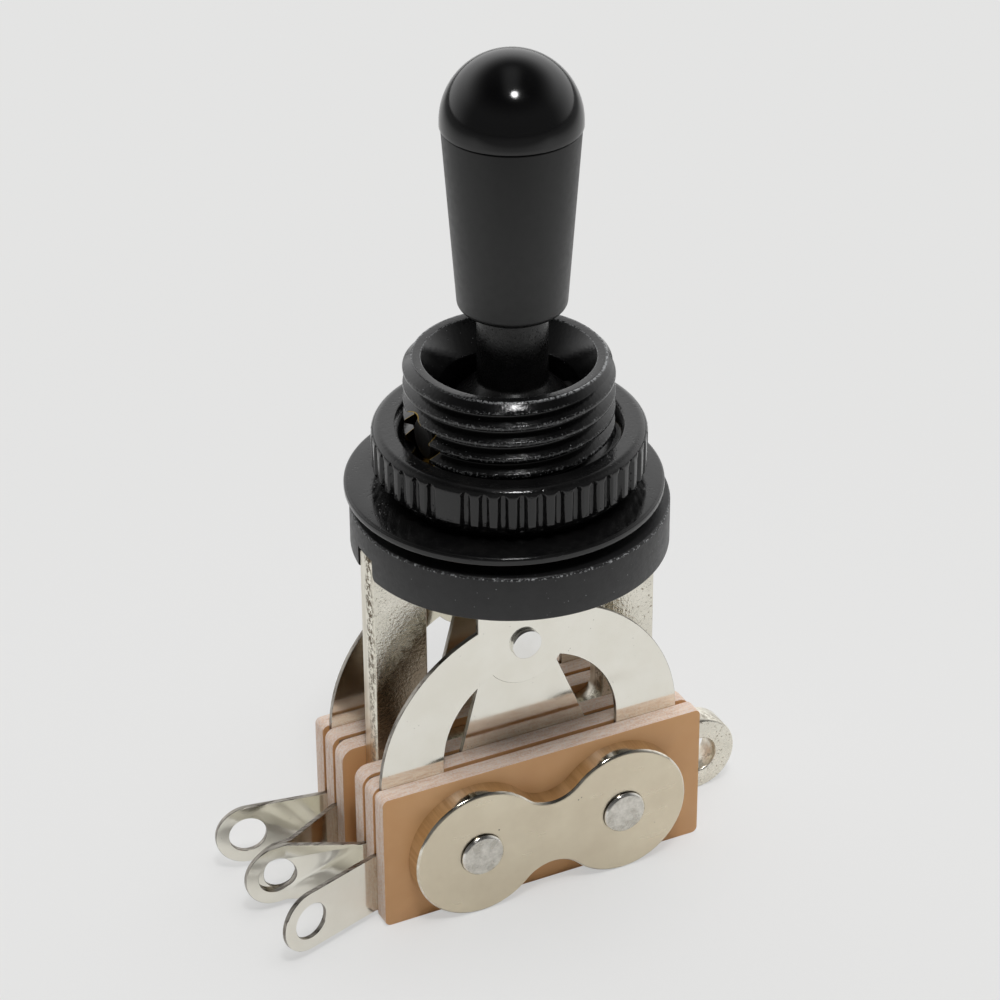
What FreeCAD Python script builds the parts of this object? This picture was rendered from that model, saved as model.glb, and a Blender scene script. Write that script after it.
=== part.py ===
import FreeCAD, Part
import math
import os

# Three-position toggle switch with an open leaf-contact stack.
# Millimetres. Z runs up along the upright lever. X runs along the insulating plates.
# Solder lugs point to -X, the ground lug to +X, and the front is -Y.
# The origin is on the bushing's axis, at the top of its flange.

# Threaded bushing and its flange
barrel_radius = 5.95
barrel_height = 9.0
barrel_chamfer = 0.48
bore_radius = 3.93
mouth_radius = 4.93
mouth_depth = 1.8
flange_overhang = 3.18
flange_thickness = 2.8
flange_edge_break = 0.18
thread_pitch = 1.0
thread_depth = 0.57
thread_crest = 0.22
thread_root = 0.16
thread_start_height = 0.48
thread_start_angle = 200.0
thread_bite = 0.05

# Pivot of the lever
pivot_height = 5.0
pin_radius = 1.2
pin_clearance = 0.05
pin_recess = 0.55
pin_chamfer = 0.15
pin_spot_radius = 1.65
pin_spot_depth = 1.0

# Lever, its cap and its insulating toe
lever_radius = 2.0
lever_thread_radius = 1.6
lever_thread_length = 7.6
lever_tip_chamfer = 0.4
lever_shoulder = 0.4
lever_boss_radius = 3.4
lever_boss_height = 2.4
lever_boss_taper = 1.4
lever_tail_radius = 1.75
lever_side_shift = 0.22
toe_clearance = 0.35
toe_height = 2.6
toe_rounding = 1.25
toe_drop = 0.8
toe_floor = 1.1
cap_lift = 3.05
cap_length = 10.88
cap_bottom_radius = 3.06
cap_top_radius = 3.84
cap_dome_radius = 3.92
cap_dome_band = 0.25
cap_seam_depth = 0.12
cap_seam_width = 0.12
cap_corner = 0.45

# Ring nut and washer, screwed part of the way down
washer_inset = 0.03
washer_clearance = 0.4
washer_thickness = 0.5
washer_lift = 0.8
washer_offset_x = -0.3
washer_offset_y = 0.1
nut_wall = 1.85
nut_clearance = 0.05
nut_foot_step = 0.85
nut_height = 3.45
nut_foot_height = 1.06
nut_crown_height = 0.3
nut_crown_step = 0.62
nut_mouth_chamfer = 0.5
nut_tooth_count = 46
nut_tooth_depth = 0.34
nut_groove_mouth = 0.62
nut_groove_floor = 0.26
nut_wide_tooth_angle = 217.4

# Frame stamped from thick sheet, with two legs and a ground lug
frame_thickness = 1.7
leg_inset = 0.09
leg_width = 3.34
leg_top_gap = 0.05
leg_slot_web = 1.45
leg_slot_side = 0.08
leg_slot_flare = 0.5
leg_corner = 0.35
frame_saddle_drop = 0.5
frame_saddle_radius = 1.0
ground_lug_width = 4.9
ground_lug_reach = 2.25
lug_hole_radius = 1.15

# Stack of insulating plates, clamped with two rivets
plate_width = 20.7
plate_height = 8.9
plate_thickness = 1.1
inner_plate_corner = 0.8
middle_plate_corner = 0.65
outer_plate_corner = 0.38
stack_side_shift = -0.18
stack_drop = 12.3
rivet_spacing = 9.3
rivet_offset = 0.3
rivet_radius = 1.1
rivet_head_radius = 1.36
rivet_head_height = 0.3
rivet_head_chamfer = 0.1
sleeve_wall = 0.4
sleeve_clearance = 0.2
clamp_thickness = 1.2
clamp_waist = 4.35
clamp_edge_break = 0.12

# Contact leaves
leaf_thickness = 0.3
leaf_bottom_gap = 0.5
horseshoe_radius = 9.6
horseshoe_width = 4.0
horseshoe_drop = 0.2
horseshoe_side_shift = -0.5
window_rise = 0.85
lobe_radius = 2.65
tab_width = 6.2
tab_top_gap = 0.65
tab_corner = 0.8
tab_side_shift = -0.75
blade_foot_width = 8.2
blade_tip_radius = 1.5
blade_side_shift = -0.25
contact_drop = 4.95
contact_offset = 0.05
contact_side_shift = -0.85
contact_radius = 1.15
contact_shank_radius = 0.55
contact_tail_radius = 0.92
contact_tail_height = 0.28
contact_gap = 0.02

# Solder lugs of the leaves
lug_width = 3.9
lug_lift = 0.45
lug_neck = 0.17
lug_lap = 1.2
outer_lug_length = 6.72
front_lug_splay = 18.0
rear_lug_splay = 9.5
inner_lug_length = 6.82
inner_lug_stagger = 0.45
inner_lug_flat = 2.6

flange_bottom = -flange_thickness
flange_radius = barrel_radius + flange_overhang
thread_root_radius = barrel_radius - thread_depth
washer_radius = flange_radius - washer_inset
washer_hole_radius = barrel_radius + washer_clearance
nut_radius = barrel_radius + nut_wall
leg_outer = flange_radius - leg_inset
leg_inner = leg_outer - leg_width
stack_top = flange_bottom - stack_drop
stack_bottom = stack_top - plate_height
rivet_height = stack_bottom + plate_height / 2 - rivet_offset
clamp_lobe_radius = rivet_height - stack_bottom
blade_base = stack_top - horseshoe_drop
contact_height = flange_bottom - contact_drop
arch_centre = contact_height + contact_offset - horseshoe_radius + horseshoe_width / 2
window_centre = arch_centre + window_rise
window_floor = min(stack_top, arch_centre) - horseshoe_drop
cap_bottom = barrel_height + cap_lift
toe_top = flange_bottom - toe_drop
toe_bottom = toe_top - toe_height
half_frame = frame_thickness / 2
inner_leaf_near = half_frame + plate_thickness
outer_leaf_near = inner_leaf_near + leaf_thickness + plate_thickness
stack_half_depth = outer_leaf_near + leaf_thickness + plate_thickness
leaf_bottom = stack_bottom + leaf_bottom_gap
lug_height = stack_bottom + lug_lift + lug_width / 2
plate_left = stack_side_shift - plate_width / 2
plate_right = stack_side_shift + plate_width / 2
horseshoe_left = horseshoe_side_shift - horseshoe_radius
horseshoe_right = horseshoe_side_shift + horseshoe_radius
toe_radius = outer_leaf_near - toe_clearance
sleeve_radius = rivet_radius + sleeve_wall
TOLERANCE = 0.01
FRONT = -1
REAR = 1

X_AXIS = FreeCAD.Vector(1, 0, 0)
Y_AXIS = FreeCAD.Vector(0, 1, 0)
Z_AXIS = FreeCAD.Vector(0, 0, 1)


def point(x, y, z):
    return FreeCAD.Vector(x, y, z)


def rod(radius, start, length, axis):
    return Part.makeCylinder(radius, length, start, axis)


def face_of(edges):
    return Part.Face(Part.Wire(edges))


def polygon_edges(corners):
    closed = corners + corners[:1]
    return [Part.LineSegment(a, b).toShape() for a, b in zip(closed, closed[1:])]


def turned(profile):
    """Solid of revolution about Z from (radius, height) corners."""
    corners = [point(radius, 0, height) for radius, height in profile]
    return face_of(polygon_edges(corners)).revolve(point(0, 0, 0), Z_AXIS, 360)


def upright_sheet(edges, near, thickness, side):
    """Extrude a closed XZ outline to a sheet that starts near and grows outwards on one side."""
    sheet = face_of(edges).extrude(Y_AXIS * thickness)
    shift = near if side == REAR else -near - thickness
    sheet.translate(point(0, shift, 0))
    return sheet


def slab(x_low, x_high, z_low, z_high, near, thickness, side):
    corners = [
        point(x_low, 0, z_low),
        point(x_high, 0, z_low),
        point(x_high, 0, z_high),
        point(x_low, 0, z_high),
    ]
    return upright_sheet(polygon_edges(corners), near, thickness, side)


def cross_edges(shape):
    """Straight edges that run through a sheet, along Y."""
    found = []
    for edge in shape.Edges:
        if isinstance(edge.Curve, Part.Line) and abs(edge.Curve.Direction.y) > 1 - TOLERANCE:
            found.append(edge)
    return found


def cross_edges_at(shape, height):
    return [edge for edge in cross_edges(shape) if abs(edge.CenterOfMass.z - height) < TOLERANCE]


def rivet_places():
    return [stack_side_shift - rivet_spacing / 2, stack_side_shift + rivet_spacing / 2]


def drill_rivet_holes(sheet, radius):
    reach = stack_half_depth + clamp_thickness
    for x in rivet_places():
        hole = rod(radius, point(x, -reach, rivet_height), 2 * reach, Y_AXIS)
        sheet = sheet.cut(hole)
    return sheet


def make_bushing():
    """Threaded barrel and flange in one, bored for the lever and slotted for the frame's legs."""
    blank_top = barrel_height + 2 * thread_pitch
    profile = [
        (0, flange_bottom),
        (flange_radius - flange_edge_break, flange_bottom),
        (flange_radius, flange_bottom + flange_edge_break),
        (flange_radius, -flange_edge_break),
        (flange_radius - flange_edge_break, 0),
        (thread_root_radius, 0),
        (thread_root_radius, blank_top),
        (0, blank_top),
    ]
    body = turned(profile).fuse(thread_ridge())
    body = body.cut(barrel_trim(blank_top)).cut(lever_passage())
    reach = 2 * barrel_radius
    body = body.cut(rod(pin_radius + pin_clearance, point(-reach, 0, pivot_height), 2 * reach, X_AXIS))
    spot_start = barrel_radius - pin_spot_depth
    for side in (-1, 1):
        spot = rod(pin_spot_radius, point(side * spot_start, 0, pivot_height), reach, X_AXIS * side)
        body = body.cut(spot)
        body = body.cut(leg_slot(side))
    return body


def thread_ridge():
    """Right-hand helical ridge of the barrel's thread, sunk a little into the core."""
    half_crest = thread_crest / 2
    half_base = (thread_pitch - thread_root) / 2
    flare = (half_base - half_crest) * thread_bite / thread_depth
    sunk_radius = thread_root_radius - thread_bite
    corners = [
        point(sunk_radius, 0, -half_base - flare),
        point(barrel_radius, 0, -half_crest),
        point(barrel_radius, 0, half_crest),
        point(sunk_radius, 0, half_base + flare),
    ]
    rise = barrel_height + thread_pitch - thread_start_height
    helix = Part.makeHelix(thread_pitch, rise, thread_root_radius)
    outline = Part.Wire(polygon_edges(corners))
    ridge = Part.Wire(helix).makePipeShell([outline], True, True)
    ridge.translate(point(0, 0, thread_start_height))
    ridge.rotate(point(0, 0, 0), Z_AXIS, thread_start_angle)
    return ridge


def barrel_trim(blank_top):
    """What is turned away above the barrel's rim and outside its chamfer."""
    outside = barrel_radius + barrel_chamfer
    cone_foot = barrel_height - 2 * barrel_chamfer
    rim_radius = barrel_radius - barrel_chamfer
    return turned([
        (0, barrel_height),
        (rim_radius, barrel_height),
        (outside, cone_foot),
        (outside, blank_top + thread_pitch),
        (0, blank_top + thread_pitch),
    ])


def lever_passage():
    """Bore for the lever, widened to a funnel at the barrel's mouth."""
    return turned([
        (0, 2 * flange_bottom),
        (bore_radius, 2 * flange_bottom),
        (bore_radius, barrel_height - mouth_depth),
        (mouth_radius, barrel_height),
        (mouth_radius, 2 * barrel_height),
        (0, 2 * barrel_height),
    ])


def leg_slot(side):
    """Slot in the flange that takes one leg of the frame, with a rounded lip at the front."""
    half = half_frame + leg_slot_side
    low = flange_bottom
    top = -leg_slot_web
    flare = leg_slot_flare
    lip_middle = flare * (1 - math.sqrt(0.5))
    corners = [
        point(0, -half - flare, low),
        point(0, half, low),
        point(0, half, top),
        point(0, -half, top),
        point(0, -half, low + flare),
    ]
    edges = [Part.LineSegment(a, b).toShape() for a, b in zip(corners, corners[1:])]
    lip = point(0, -half - lip_middle, low + lip_middle)
    edges.append(Part.Arc(corners[-1], lip, corners[0]).toShape())
    slot = face_of(edges).extrude(X_AXIS * side * flange_radius)
    slot.translate(point(side * leg_inner, 0, 0))
    return slot


def make_pivot_pin():
    half = barrel_radius - pin_recess
    pin = rod(pin_radius, point(-half, 0, pivot_height), 2 * half, X_AXIS)
    rims = [edge for edge in pin.Edges if isinstance(edge.Curve, Part.Circle)]
    return pin.makeChamfer(pin_chamfer, rims)


def shifted_on_pin(shape):
    """The lever has side play on its pin and stands a little to the right."""
    shape.translate(point(lever_side_shift, 0, 0))
    return shape


def make_lever():
    """Turned lever: threaded tip, stem, boss round the pin and a tail for the toe."""
    half_boss = lever_boss_height / 2
    top = cap_bottom + lever_thread_length
    profile = [
        (0, toe_bottom + toe_floor),
        (lever_tail_radius, toe_bottom + toe_floor),
        (lever_tail_radius, pivot_height - half_boss - lever_boss_taper),
        (lever_boss_radius, pivot_height - half_boss),
        (lever_boss_radius, pivot_height + half_boss),
        (lever_radius, pivot_height + half_boss + lever_boss_taper),
        (lever_radius, cap_bottom - lever_shoulder),
        (lever_thread_radius, cap_bottom),
        (lever_thread_radius, top - lever_tip_chamfer),
        (lever_thread_radius - lever_tip_chamfer, top),
        (0, top),
    ]
    lever = turned(profile)
    reach = 2 * lever_boss_radius
    bore = rod(pin_radius + pin_clearance, point(-reach, 0, pivot_height), 2 * reach, X_AXIS)
    return shifted_on_pin(lever.cut(bore))


def make_tip_cap():
    """Tapered moulded cap with a domed end, a parting seam and a blind threaded hole."""
    seam = cap_bottom + cap_length
    seam_low = seam - cap_seam_width
    seam_radius = cap_top_radius - cap_seam_depth
    hole_top = cap_bottom + lever_thread_length
    dome_centre = seam + cap_dome_band
    dome_side = point(cap_dome_radius, 0, dome_centre)
    slant = cap_dome_radius * math.sqrt(0.5)
    dome_middle = point(slant, 0, dome_centre + slant)
    dome_top = point(0, 0, dome_centre + cap_dome_radius)
    corners = [
        dome_top,
        point(0, 0, hole_top),
        point(lever_thread_radius, 0, hole_top),
        point(lever_thread_radius, 0, cap_bottom),
        point(cap_bottom_radius - cap_corner, 0, cap_bottom),
        point(cap_bottom_radius, 0, cap_bottom + cap_corner),
        point(cap_top_radius, 0, seam_low),
        point(seam_radius, 0, seam_low),
        point(seam_radius, 0, seam),
        point(cap_dome_radius, 0, seam),
        dome_side,
    ]
    edges = [Part.LineSegment(a, b).toShape() for a, b in zip(corners, corners[1:])]
    edges.append(Part.Arc(dome_side, dome_middle, dome_top).toShape())
    return shifted_on_pin(face_of(edges).revolve(point(0, 0, 0), Z_AXIS, 360))


def make_lever_toe():
    """Rounded insulating button on the lever's tail, which pushes the tabs of the outer leaves."""
    toe = rod(toe_radius, point(0, 0, toe_bottom), toe_height, Z_AXIS)
    rims = [edge for edge in toe.Edges if isinstance(edge.Curve, Part.Circle)]
    toe = toe.makeFillet(toe_rounding, rims)
    socket = rod(lever_tail_radius, point(0, 0, toe_bottom + toe_floor), toe_height, Z_AXIS)
    return shifted_on_pin(toe.cut(socket))


def make_washer():
    centre = point(washer_offset_x, washer_offset_y, washer_lift)
    disc = rod(washer_radius, centre, washer_thickness, Z_AXIS)
    return disc.cut(rod(washer_hole_radius, centre, washer_thickness, Z_AXIS))


def make_ring_nut():
    """Round nut with straight coarse teeth, one of them twice as wide."""
    low = washer_lift + washer_thickness
    high = low + nut_height
    bore = barrel_radius + nut_clearance
    profile = [
        (bore, low),
        (nut_radius - nut_foot_step, low),
        (nut_radius, low + nut_foot_height),
        (nut_radius, high - nut_crown_height),
        (nut_radius - nut_crown_step, high),
        (bore + nut_mouth_chamfer, high),
        (bore, high - nut_mouth_chamfer),
    ]
    grooves = []
    for index in range(1, nut_tooth_count):
        grooves.append(nut_groove(nut_wide_tooth_angle + index * 360 / nut_tooth_count, low))
    return turned(profile).cut(Part.makeCompound(grooves))


def nut_groove(angle, low):
    """One groove between two teeth of the ring nut, with slanted flanks."""
    half_floor = nut_groove_floor / 2
    half_outside = nut_groove_mouth - half_floor
    floor = nut_radius - nut_tooth_depth
    outside = nut_radius + nut_tooth_depth
    corners = [
        point(floor, -half_floor, low),
        point(outside, -half_outside, low),
        point(outside, half_outside, low),
        point(floor, half_floor, low),
    ]
    groove = face_of(polygon_edges(corners)).extrude(Z_AXIS * nut_height)
    groove.rotate(point(0, 0, 0), Z_AXIS, angle)
    return groove


def make_frame():
    """U-shaped frame: saddle between the plates, two legs up to the flange and a ground lug."""
    leg_top = -leg_slot_web - leg_top_gap
    saddle_top = stack_top - frame_saddle_drop
    plate = slab(-leg_outer, leg_outer, stack_bottom, leg_top, -half_frame, frame_thickness, REAR)
    window = slab(-leg_inner, leg_inner, saddle_top, 0, -frame_thickness, 2 * frame_thickness, REAR)
    window = window.makeFillet(frame_saddle_radius, cross_edges_at(window, saddle_top))
    plate = plate.makeFillet(leg_corner, cross_edges_at(plate, leg_top))
    frame = plate.cut(window)
    lug_radius = ground_lug_width / 2
    lug_centre = plate_right + ground_lug_reach
    lug_z = stack_bottom + lug_radius
    lug_top = stack_bottom + ground_lug_width
    strip = slab(leg_inner, lug_centre, stack_bottom, lug_top, -half_frame, frame_thickness, REAR)
    eye = rod(lug_radius, point(lug_centre, -half_frame, lug_z), frame_thickness, Y_AXIS)
    frame = frame.fuse(strip).fuse(eye).removeSplitter()
    hole = rod(lug_hole_radius, point(lug_centre, -frame_thickness, lug_z), 2 * frame_thickness, Y_AXIS)
    frame = frame.cut(hole)
    return drill_rivet_holes(frame, sleeve_radius)


def make_insulator(near, corner, side):
    """Punched insulating plate with rounded corners."""
    plate = slab(plate_left, plate_right, stack_bottom, stack_top, near, plate_thickness, side)
    plate = plate.makeFillet(corner, cross_edges(plate))
    return drill_rivet_holes(plate, sleeve_radius)


def band_corners(line, thickness):
    """Corners of a band of even thickness along a line of points in plan."""
    ways = [(b - a).normalize() for a, b in zip(line, line[1:])]
    left = []
    right = []
    for spot, before, after in zip(line, ways[:1] + ways, ways + ways[-1:]):
        middle = (before + after).normalize()
        across = Z_AXIS.cross(middle) * (thickness / 2 / middle.dot(after))
        left.append(spot + across)
        right.append(spot - across)
    return left + right[::-1]


def upright_band(line, thickness):
    """Strip on edge along a line in plan, as high as a solder lug."""
    band = face_of(polygon_edges(band_corners(line, thickness))).extrude(Z_AXIS * lug_width)
    band.translate(point(0, 0, lug_height - lug_width / 2))
    return band


def lug_solid(line):
    """Solder lug bent from a strip, with a round eye at its end."""
    depth = 2 * stack_half_depth
    way = (line[-1] - line[-2]).normalize()
    centre = line[-1] - way * (lug_width / 2)
    through = Z_AXIS.cross(way)
    start = centre + Z_AXIS * lug_height - through * depth
    outline = upright_band([centre, centre - way * plate_width], 2 * depth)
    outline = outline.fuse(rod(lug_width / 2, start, 2 * depth, through))
    outline = outline.cut(rod(lug_hole_radius, start, 2 * depth, through))
    return upright_band(line, leaf_thickness).common(outline)


def outer_lug_line(side):
    """The outer lug splays away from the stack as soon as it leaves it."""
    middle = side * (outer_leaf_near + leaf_thickness / 2)
    angle = front_lug_splay if side == FRONT else rear_lug_splay
    splay = side * (outer_lug_length - lug_neck) * math.tan(math.radians(angle))
    return [
        point(horseshoe_left + lug_lap, middle, 0),
        point(plate_left - lug_neck, middle, 0),
        point(plate_left - outer_lug_length, middle + splay, 0),
    ]


def inner_lug_line(side):
    """The inner lug bends to the middle, where it lies flat against its twin."""
    length = inner_lug_length - (inner_lug_stagger if side == REAR else 0)
    middle = side * (inner_leaf_near + leaf_thickness / 2)
    flat = side * leaf_thickness / 2
    end = plate_left - length
    return [
        point(horseshoe_left + lug_lap, middle, 0),
        point(plate_left - lug_neck, middle, 0),
        point(end + inner_lug_flat, flat, 0),
        point(end, flat, 0),
    ]


def arch_sheet(radius, centre, floor, near, side):
    """Sheet with upright sides and a half round top about a centre height."""
    left = horseshoe_side_shift - radius
    right = horseshoe_side_shift + radius
    top = point(horseshoe_side_shift, 0, centre + radius)
    edges = [
        Part.LineSegment(point(left, 0, floor), point(left, 0, centre)).toShape(),
        Part.Arc(point(left, 0, centre), top, point(right, 0, centre)).toShape(),
        Part.LineSegment(point(right, 0, centre), point(right, 0, floor)).toShape(),
        Part.LineSegment(point(right, 0, floor), point(left, 0, floor)).toShape(),
    ]
    return upright_sheet(edges, near, leaf_thickness, side)


def finished_leaf(sheet, pieces, near, side):
    """Join a leaf's pieces, then punch it for the contact's shank and the two rivets."""
    leaf = sheet.fuse(pieces).removeSplitter()
    start = point(contact_side_shift, side * near, contact_height)
    shank = rod(contact_shank_radius, start, leaf_thickness, Y_AXIS * side)
    return drill_rivet_holes(leaf.cut(shank), sleeve_radius + sleeve_clearance)


def make_outer_leaf(side):
    """Horseshoe leaf: clamped foot, arched legs, a lobe for the contact and a tab beside the toe."""
    near = outer_leaf_near
    tab_top = flange_bottom - tab_top_gap
    inside = horseshoe_radius - horseshoe_width
    arch = arch_sheet(horseshoe_radius, arch_centre, leaf_bottom, near, side)
    window = arch_sheet(inside, window_centre, window_floor, near, side)
    lobe_start = point(contact_side_shift, side * near, contact_height)
    lobe = rod(lobe_radius, lobe_start, leaf_thickness, Y_AXIS * side)
    tab_left = tab_side_shift - tab_width / 2
    tab = slab(tab_left, tab_left + tab_width, contact_height, tab_top, near, leaf_thickness, side)
    tab = tab.makeFillet(tab_corner, cross_edges_at(tab, tab_top))
    lug = lug_solid(outer_lug_line(side))
    return finished_leaf(arch.cut(window), [lobe, tab, lug], near, side)


def make_inner_leaf(side):
    """Blade that tapers to the fixed contact, with a lug bent towards its twin."""
    near = inner_leaf_near
    tip_x = contact_side_shift
    left_foot = point(blade_side_shift - blade_foot_width / 2, 0, blade_base)
    right_foot = point(blade_side_shift + blade_foot_width / 2, 0, blade_base)
    left_side = tangent_point(left_foot, -1)
    right_side = tangent_point(right_foot, 1)
    edges = [
        Part.LineSegment(right_foot, left_foot).toShape(),
        Part.LineSegment(left_foot, left_side).toShape(),
        Part.Arc(left_side, point(tip_x, 0, contact_height + blade_tip_radius), right_side).toShape(),
        Part.LineSegment(right_side, right_foot).toShape(),
    ]
    blade = upright_sheet(edges, near, leaf_thickness, side)
    foot = slab(horseshoe_left, horseshoe_right, leaf_bottom, blade_base, near, leaf_thickness, side)
    return finished_leaf(blade, [foot, lug_solid(inner_lug_line(side))], near, side)


def tangent_point(foot, hand):
    """Where the straight edge from a foot touches the blade's round tip, on one hand of it."""
    across = hand * (foot.x - contact_side_shift)
    rise = contact_height - foot.z
    lean = math.atan2(across, rise) - math.asin(blade_tip_radius / math.hypot(across, rise))
    touch_x = contact_side_shift + hand * blade_tip_radius * math.cos(lean)
    return point(touch_x, 0, contact_height + blade_tip_radius * math.sin(lean))


def make_contact(leaf_near, side, faces_out):
    """Contact rivet: flat head towards its twin, shank through the leaf and a low tail."""
    head_height = (plate_thickness - contact_gap) / 2
    inner_face = side * leaf_near
    outer_face = side * (leaf_near + leaf_thickness)
    outwards = Y_AXIS * side
    inner_start = point(contact_side_shift, inner_face, contact_height)
    outer_start = point(contact_side_shift, outer_face, contact_height)
    shank = rod(contact_shank_radius, inner_start, leaf_thickness, outwards)
    head_start = outer_start if faces_out else inner_start
    tail_start = inner_start if faces_out else outer_start
    head_way = outwards if faces_out else outwards * -1
    head = rod(contact_radius, head_start, head_height, head_way)
    tail = rod(contact_tail_radius, tail_start, contact_tail_height, head_way * -1)
    return shank.fuse([head, tail])


def make_clamp_plate(side):
    """Figure-of-eight plate: two round lobes joined by a waist that blends into both."""
    half = rivet_spacing / 2
    lobe = clamp_lobe_radius
    waist = clamp_waist / 2
    blend = (half**2 + waist**2 - lobe**2) / (2 * (lobe - waist))
    lean = math.atan2(half, waist + blend)
    touch_x = blend * math.sin(lean)
    touch_z = waist + blend - blend * math.cos(lean)
    upper_left = point(-touch_x, 0, touch_z)
    upper_right = point(touch_x, 0, touch_z)
    lower_left = point(-touch_x, 0, -touch_z)
    lower_right = point(touch_x, 0, -touch_z)
    edges = [
        Part.Arc(upper_left, point(0, 0, waist), upper_right).toShape(),
        Part.Arc(upper_right, point(half + lobe, 0, 0), lower_right).toShape(),
        Part.Arc(lower_right, point(0, 0, -waist), lower_left).toShape(),
        Part.Arc(lower_left, point(-half - lobe, 0, 0), upper_left).toShape(),
    ]
    plate = upright_sheet(edges, stack_half_depth, clamp_thickness, side)
    outer = side * (stack_half_depth + clamp_thickness)
    rim = [edge for edge in plate.Edges if abs(edge.CenterOfMass.y - outer) < TOLERANCE]
    plate = plate.makeChamfer(clamp_edge_break, rim)
    plate.translate(point(stack_side_shift, 0, rivet_height))
    return drill_rivet_holes(plate, rivet_radius)


def make_stack_rivet(x):
    """Solid rivet through the whole stack, with a low head on both clamp plates."""
    reach = stack_half_depth + clamp_thickness
    rivet = rod(rivet_radius, point(x, -reach, rivet_height), 2 * reach, Y_AXIS)
    for side in (FRONT, REAR):
        head_start = point(x, side * reach, rivet_height)
        head = rod(rivet_head_radius, head_start, rivet_head_height, Y_AXIS * side)
        outer = side * (reach + rivet_head_height)
        rim = [edge for edge in head.Edges if abs(edge.CenterOfMass.y - outer) < TOLERANCE]
        rivet = rivet.fuse(head.makeChamfer(rivet_head_chamfer, rim))
    return rivet


def make_sleeve(x):
    start = point(x, -stack_half_depth, rivet_height)
    tube = rod(sleeve_radius, start, 2 * stack_half_depth, Y_AXIS)
    return tube.cut(rod(rivet_radius, start, 2 * stack_half_depth, Y_AXIS))


def insulator_places():
    """Inner face distance and corner radius of the three plates on each side of the frame."""
    pitch = plate_thickness + leaf_thickness
    return {
        "inner": (half_frame, inner_plate_corner),
        "middle": (half_frame + pitch, middle_plate_corner),
        "outer": (half_frame + 2 * pitch, outer_plate_corner),
    }


def make_nodes():
    nodes = {
        "bushing": make_bushing(),
        "pivot_pin": make_pivot_pin(),
        "lever": make_lever(),
        "tip_cap": make_tip_cap(),
        "lever_toe": make_lever_toe(),
        "washer": make_washer(),
        "ring_nut": make_ring_nut(),
        "frame": make_frame(),
        "left_rivet": make_stack_rivet(rivet_places()[0]),
        "right_rivet": make_stack_rivet(rivet_places()[1]),
        "left_sleeve": make_sleeve(rivet_places()[0]),
        "right_sleeve": make_sleeve(rivet_places()[1]),
    }
    for side, word in ((FRONT, "front"), (REAR, "rear")):
        for place, (near, corner) in insulator_places().items():
            nodes[word + "_" + place + "_insulator"] = make_insulator(near, corner, side)
        nodes[word + "_outer_leaf"] = make_outer_leaf(side)
        nodes[word + "_inner_leaf"] = make_inner_leaf(side)
        nodes[word + "_outer_contact"] = make_contact(outer_leaf_near, side, False)
        nodes[word + "_inner_contact"] = make_contact(inner_leaf_near, side, True)
        nodes[word + "_clamp_plate"] = make_clamp_plate(side)
    return nodes


os.makedirs("parts", exist_ok=True)
for name, shape in make_nodes().items():
    shape.exportStep("parts/" + name + ".step")
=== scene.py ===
import math
import bmesh
import bpy
from mathutils import Matrix, Vector


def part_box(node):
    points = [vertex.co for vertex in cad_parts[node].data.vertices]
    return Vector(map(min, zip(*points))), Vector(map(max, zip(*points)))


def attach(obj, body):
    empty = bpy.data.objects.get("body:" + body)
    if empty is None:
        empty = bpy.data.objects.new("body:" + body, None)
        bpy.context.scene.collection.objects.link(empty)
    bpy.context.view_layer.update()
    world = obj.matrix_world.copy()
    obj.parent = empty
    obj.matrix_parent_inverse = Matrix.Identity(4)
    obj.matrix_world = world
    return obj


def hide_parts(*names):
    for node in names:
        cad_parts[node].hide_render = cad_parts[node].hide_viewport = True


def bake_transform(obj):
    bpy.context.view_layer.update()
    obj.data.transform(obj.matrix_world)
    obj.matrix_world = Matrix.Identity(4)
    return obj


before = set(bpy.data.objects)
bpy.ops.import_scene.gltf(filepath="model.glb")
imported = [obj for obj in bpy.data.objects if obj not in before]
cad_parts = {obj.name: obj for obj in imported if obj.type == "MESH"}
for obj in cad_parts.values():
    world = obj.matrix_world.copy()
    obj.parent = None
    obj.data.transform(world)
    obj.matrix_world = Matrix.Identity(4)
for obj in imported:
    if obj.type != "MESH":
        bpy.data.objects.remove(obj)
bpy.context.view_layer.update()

mm = 0.001
mergeDistance = 0.002 * mm
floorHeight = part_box("front_clamp_plate")[0].z


# Helpers for meshes

def finishMesh(bm, name, sharpAngle=32):
    mesh = bpy.data.meshes.new(name)
    bm.to_mesh(mesh)
    bm.free()
    mesh.shade_smooth()
    mesh.set_sharp_from_angle(angle=math.radians(sharpAngle))
    piece = bpy.data.objects.new(name, mesh)
    bpy.context.scene.collection.objects.link(piece)
    return piece


def roundedOutline(corners, closed=True):
    # corners are (across, along, rounding radius, steps) and come back as points with arcs
    points = []
    count = len(corners)
    for index, (x, y, radius, steps) in enumerate(corners):
        here = Vector((x, y))
        isEnd = not closed and index in (0, count - 1)
        if radius == 0 or isEnd:
            points.append(here)
            continue
        before = (Vector(corners[index - 1][:2]) - here).normalized()
        after = (Vector(corners[(index + 1) % count][:2]) - here).normalized()
        halfTurn = before.angle(after) / 2
        centre = here + (before + after).normalized() * radius / math.sin(halfTurn)
        start = here + before * radius / math.tan(halfTurn) - centre
        end = here + after * radius / math.tan(halfTurn) - centre
        turn = -start.angle_signed(end)
        for step in range(steps + 1):
            points.append(centre + Matrix.Rotation(turn * step / steps, 2) @ start)
    return points


def everything(bm):
    return bm.verts[:] + bm.edges[:] + bm.faces[:]


def onlyVerts(items):
    return [item for item in items if isinstance(item, bmesh.types.BMVert)]


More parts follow.
